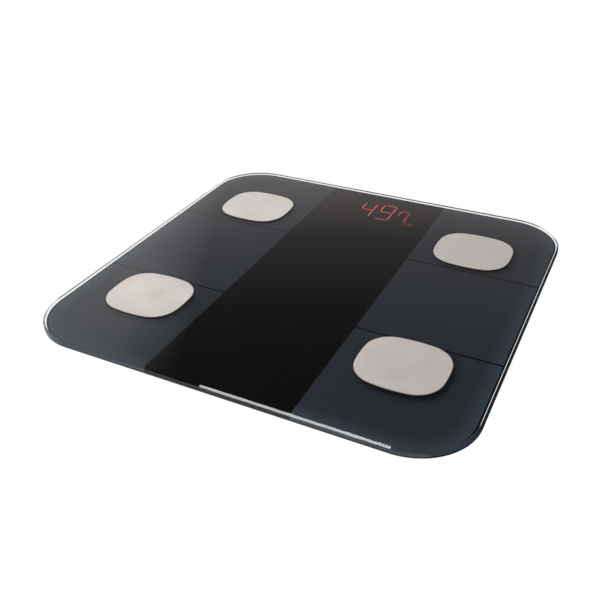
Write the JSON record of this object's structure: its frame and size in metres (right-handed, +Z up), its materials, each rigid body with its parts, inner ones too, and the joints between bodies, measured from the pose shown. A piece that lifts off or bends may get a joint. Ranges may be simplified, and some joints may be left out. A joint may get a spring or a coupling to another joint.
{
  "type": "digital bathroom scale",
  "caption": "Flat bathroom scale with a clear-edged glass platform, steel electrode pads, red digits under the glass, a moulded base, load-cell feet and a hinged battery door.",
  "frame": {"origin": "on the floor, under the middle of the platform's outline", "axes": "+Z up, +X to the user's right along the longer side, +Y away from the user towards the display"},
  "size_m": [0.3, 0.292, 0.0249],
  "materials": {
    "clear_glass": "clear tempered glass, polished, bevelled edge",
    "screen_print": "slate-blue and black print on the back of the glass",
    "brushed_steel": "satin stamped stainless steel",
    "black_adhesive": "thin black adhesive foam",
    "zinc_steel": "zinc-plated steel",
    "tinned_copper": "tin-plated copper",
    "black_abs": "fine spark-eroded texture",
    "grey_abs": "moulded, fine texture",
    "foot_rubber": "matt non-slip rubber",
    "cell_steel": "nickel-plated spring steel",
    "white_silicone": "silicone over the gauge",
    "cell_lead": "flat three-core lead",
    "electrode_lead": "single white lead",
    "battery_lead": "single lead",
    "board_green": "solder mask",
    "chip_black": "moulded epoxy",
    "shield_metal": "tinned shield",
    "white_nylon": "moulded nylon",
    "red_epoxy": "tinted epoxy, lit from below",
    "diffuser_sheet": "milky film",
    "ribbon_film": "polyester ribbon",
    "cell_jacket": "shrink sleeve, unprinted",
    "nickel": "nickel-plated spring steel",
    "blank_label": "blank satin sticker"
  },
  "bodies": {
    "platform": {"base_shell": "black_abs", "battery_cells": "cell_jacket", "battery_contact_plates": "nickel", "battery_leads": "battery_lead", "battery_springs": "nickel", "board_screws": "zinc_steel", "clock_crystal": "shield_metal", "display_board": "board_green", "display_diffuser": "diffuser_sheet", "display_reflector": "white_nylon", "display_ribbon": "ribbon_film", "display_segments": "red_epoxy", "electrode_gaskets": "black_adhesive", "electrode_lead_back_left": "electrode_lead", "electrode_lead_back_right": "electrode_lead", "electrode_lead_front_left": "electrode_lead", "electrode_lead_front_right": "electrode_lead", "electrode_nuts": "zinc_steel", "electrode_pad_back_left": "brushed_steel", "electrode_pad_back_right": "brushed_steel", "electrode_pad_front_left": "brushed_steel", "electrode_pad_front_right": "brushed_steel", "electrode_socket": "white_nylon", "electrode_terminals": "tinned_copper", "glass_bond_tape": "black_adhesive", "glass_platform": "clear_glass", "load_cell_back_left": "cell_steel", "load_cell_back_right": "cell_steel", "load_cell_front_left": "cell_steel", "load_cell_front_right": "cell_steel", "load_cell_lead_back_left": "cell_lead", "load_cell_lead_back_right": "cell_lead", "load_cell_lead_front_left": "cell_lead", "load_cell_lead_front_right": "cell_lead", "load_cell_retainer_back_left": "grey_abs", "load_cell_retainer_back_right": "grey_abs", "load_cell_retainer_front_left": "grey_abs", "load_cell_retainer_front_right": "grey_abs", "load_cell_sockets": "white_nylon", "main_board": "board_green", "microcontroller": "chip_black", "power_capacitor": "chip_black", "print_film": "screen_print", "rating_label": "blank_label", "retainer_screws": "zinc_steel", "strain_gauges": "white_silicone", "unit_switch": "chip_black", "wireless_module": "shield_metal"},
    "foot_front_left": {"foot_cap_front_left": "black_abs", "foot_rubber_front_left": "foot_rubber"},
    "foot_front_right": {"foot_cap_front_right": "black_abs", "foot_rubber_front_right": "foot_rubber"},
    "foot_back_left": {"foot_cap_back_left": "black_abs", "foot_rubber_back_left": "foot_rubber"},
    "foot_back_right": {"foot_cap_back_right": "black_abs", "foot_rubber_back_right": "foot_rubber"},
    "door": {"battery_door": "black_abs"},
    "button": {"unit_button": "black_abs", "unit_switch_plunger": "chip_black"}
  },
  "joints": [
    {"name": "foot_front_left_travel", "type": "slide", "parent": "platform", "child": "foot_front_left", "axis": [0, 0, 1], "range_m": [0, 0.0006], "stiffness_N_per_m": 2500, "springref_m": -0.0025, "deforming": ["load_cell_front_left"]},
    {"name": "foot_front_right_travel", "type": "slide", "parent": "platform", "child": "foot_front_right", "axis": [0, 0, 1], "range_m": [0, 0.0006], "stiffness_N_per_m": 2500, "springref_m": -0.0025, "deforming": ["load_cell_front_right"]},
    {"name": "foot_back_left_travel", "type": "slide", "parent": "platform", "child": "foot_back_left", "axis": [0, 0, 1], "range_m": [0, 0.0006], "stiffness_N_per_m": 2500, "springref_m": -0.0025, "deforming": ["load_cell_back_left"]},
    {"name": "foot_back_right_travel", "type": "slide", "parent": "platform", "child": "foot_back_right", "axis": [0, 0, 1], "range_m": [0, 0.0006], "stiffness_N_per_m": 2500, "springref_m": -0.0025, "deforming": ["load_cell_back_right"]},
    {"name": "battery_door_hinge", "type": "hinge", "parent": "platform", "child": "door", "pos_m": [0, 0.027, 0.004], "axis": [-1, 0, 0], "range_deg": [0, 80]},
    {"name": "unit_button_press", "type": "slide", "parent": "platform", "child": "button", "axis": [0, 0, 1], "range_m": [0, 0.0006], "stiffness_N_per_m": 2500, "springref_m": -0.0002}
  ]
}
